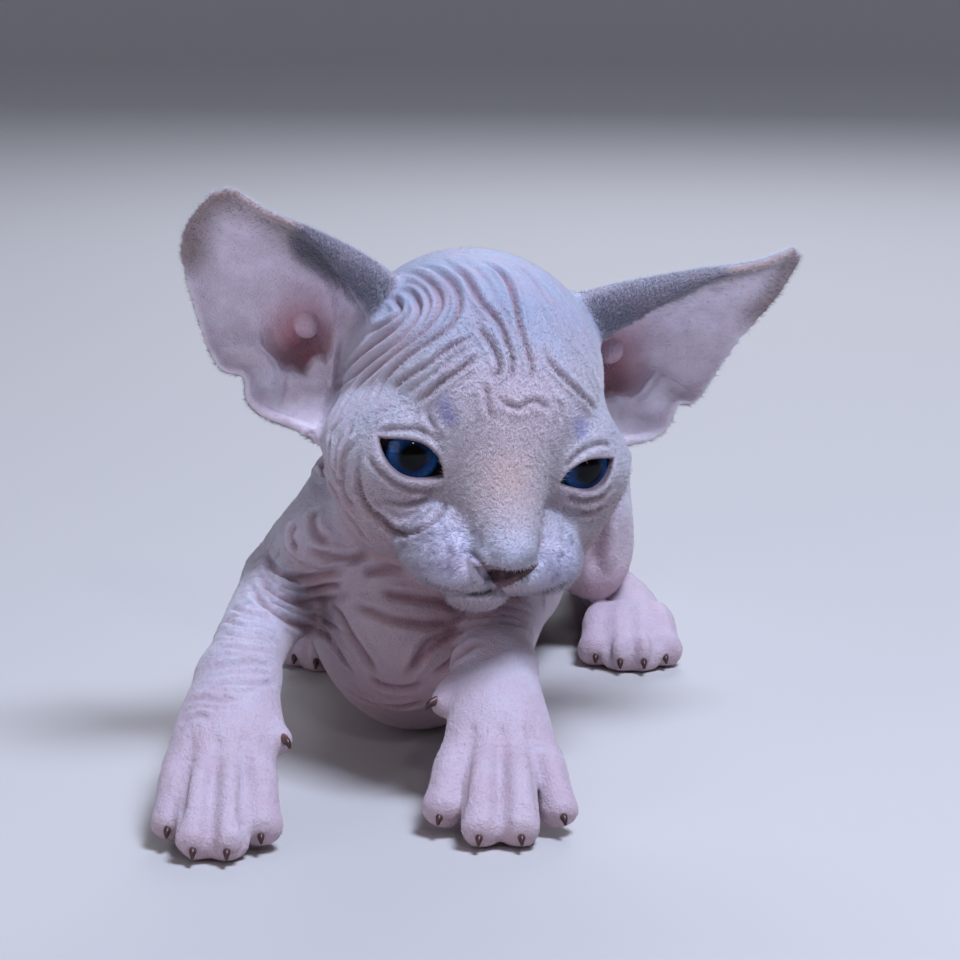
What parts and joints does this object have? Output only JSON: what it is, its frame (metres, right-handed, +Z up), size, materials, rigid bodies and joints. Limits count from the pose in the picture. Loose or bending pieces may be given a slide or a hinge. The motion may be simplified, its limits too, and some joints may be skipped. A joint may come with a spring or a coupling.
{
  "type": "sphynx kitten figure",
  "caption": "Still, life-size figure of a wrinkled, hairless sphynx kitten that crouches with its forepaws reached out and its head turned and tilted to one side.",
  "frame": {"origin": "on the floor, in the middle of the flat under the chest that the kitten rests on", "axes": "+Z up, the kitten faces -Y and its tail lies towards +Y, its own left side is towards +X"},
  "size_m": [0.1028, 0.3011, 0.0984],
  "materials": {
    "skin": "matt, finely wrinkled bare skin with a thin down",
    "eye": "wet gloss",
    "claw": "satin horn"
  },
  "bodies": {
    "root": {"head": "skin", "trunk": "skin", "neck": "skin", "ear_left": "skin", "foreleg_left": "skin", "forepaw_left": "skin", "thigh_left": "skin", "hindfoot_left": "skin", "eye_left": "eye", "claw_fore_left_1": "claw", "claw_fore_left_2": "claw", "claw_fore_left_3": "claw", "claw_fore_left_4": "claw", "claw_fore_left_5": "claw", "claw_hind_left_1": "claw", "claw_hind_left_2": "claw", "claw_hind_left_3": "claw", "claw_hind_left_4": "claw", "ear_right": "skin", "foreleg_right": "skin", "forepaw_right": "skin", "thigh_right": "skin", "hindfoot_right": "skin", "eye_right": "eye", "claw_fore_right_1": "claw", "claw_fore_right_2": "claw", "claw_fore_right_3": "claw", "claw_fore_right_4": "claw", "claw_fore_right_5": "claw", "claw_hind_right_1": "claw", "claw_hind_right_2": "claw", "claw_hind_right_3": "claw", "claw_hind_right_4": "claw", "tail_root": "skin", "tail_middle": "skin", "tail_tip": "skin"}
  },
  "joints": []
}
